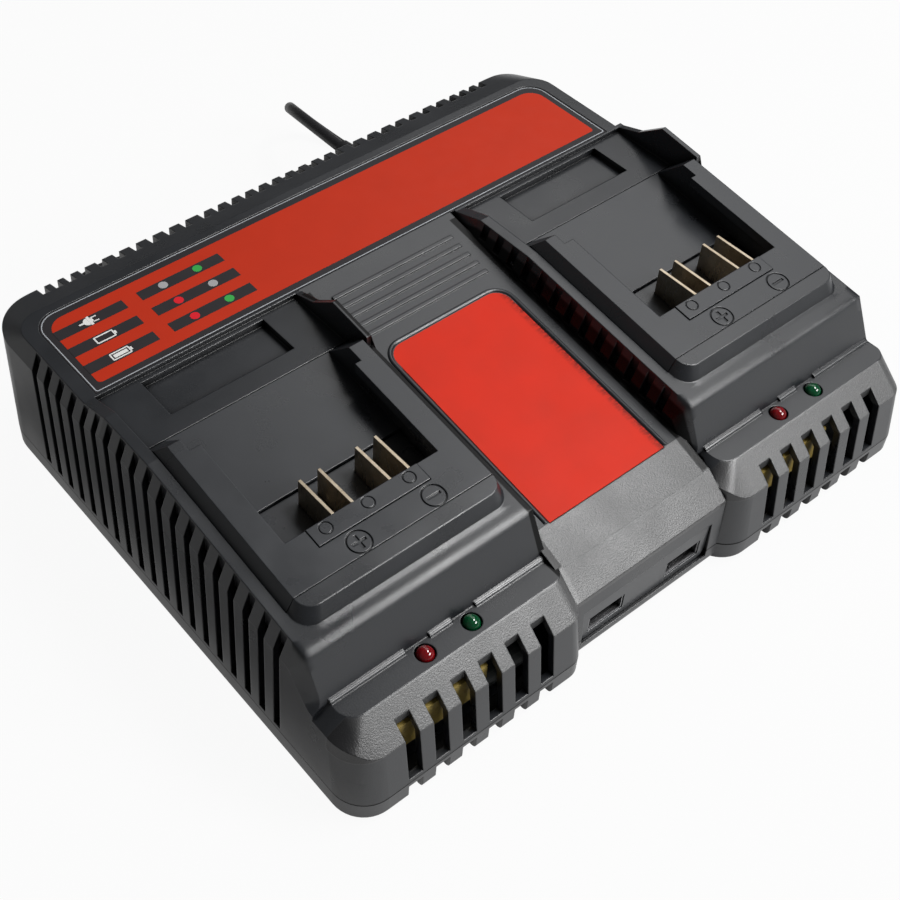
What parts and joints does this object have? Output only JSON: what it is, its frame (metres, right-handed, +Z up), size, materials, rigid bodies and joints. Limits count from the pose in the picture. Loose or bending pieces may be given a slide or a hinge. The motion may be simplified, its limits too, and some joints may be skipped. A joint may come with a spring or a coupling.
{
  "type": "dual battery charger",
  "caption": "Dual battery charger: two slide-on battery bays side by side on a vented housing, USB ports between them, indicator lamps, and a mains cord put away in a hank.",
  "frame": {"origin": "on the surface that the charger stands on, under the middle of the housing's footprint, in metres", "axes": "+X to the right seen from the front, -Y out of the front with the lamps and ports, +Z up"},
  "size_m": [0.248, 0.2414, 0.0607],
  "materials": {
    "housing": "satin moulded",
    "rail_plastic": "satin moulded",
    "terminal_plastic": "fine grain",
    "foot_rubber": "matte",
    "screw_steel": "zinc plated",
    "terminal_metal": "nickel plated",
    "red_lens": "clear tinted",
    "green_lens": "clear tinted",
    "circuit_board": "solder mask",
    "ferrite": "sintered",
    "winding_tape": "tape",
    "sink_metal": "extruded",
    "capacitor_case": "moulded",
    "capacitor_can": "sleeved",
    "socket_metal": "plated",
    "tongue_plastic": "moulded",
    "port_plastic": "fine grain",
    "plate_print": "printed film",
    "cord_rubber": "satin",
    "tie_plastic": "woven",
    "plug_plastic": "moulded",
    "pin_brass": "nickel plated"
  },
  "bodies": {
    "root": {"top_cover": "housing", "base_shell": "housing", "foot_front_left": "foot_rubber", "foot_front_right": "foot_rubber", "foot_rear_left": "foot_rubber", "foot_rear_right": "foot_rubber", "housing_screws": "screw_steel", "left_rail_frame": "rail_plastic", "left_terminal_block": "terminal_plastic", "left_terminals": "terminal_metal", "left_red_lamp": "red_lens", "left_green_lamp": "green_lens", "left_lamp_board": "circuit_board", "left_transformer_core": "ferrite", "left_transformer_winding": "winding_tape", "left_heat_sink": "sink_metal", "left_film_capacitor": "capacitor_case", "left_usb_socket": "socket_metal", "left_usb_tongue": "tongue_plastic", "right_rail_frame": "rail_plastic", "right_terminal_block": "terminal_plastic", "right_terminals": "terminal_metal", "right_red_lamp": "red_lens", "right_green_lamp": "green_lens", "right_lamp_board": "circuit_board", "right_transformer_core": "ferrite", "right_transformer_winding": "winding_tape", "right_heat_sink": "sink_metal", "right_film_capacitor": "capacitor_case", "right_usb_socket": "socket_metal", "right_usb_tongue": "tongue_plastic", "main_board": "circuit_board", "board_screws": "screw_steel", "capacitors": "capacitor_can", "usb_board": "circuit_board", "port_frame": "port_plastic", "centre_plate": "plate_print", "rear_plate": "plate_print", "cord_boot": "cord_rubber", "cord_run": "cord_rubber", "cord_hank": "cord_rubber", "cord_tail": "cord_rubber", "cord_tie": "tie_plastic", "plug_body": "plug_plastic", "plug_pins": "pin_brass"}
  },
  "joints": []
}
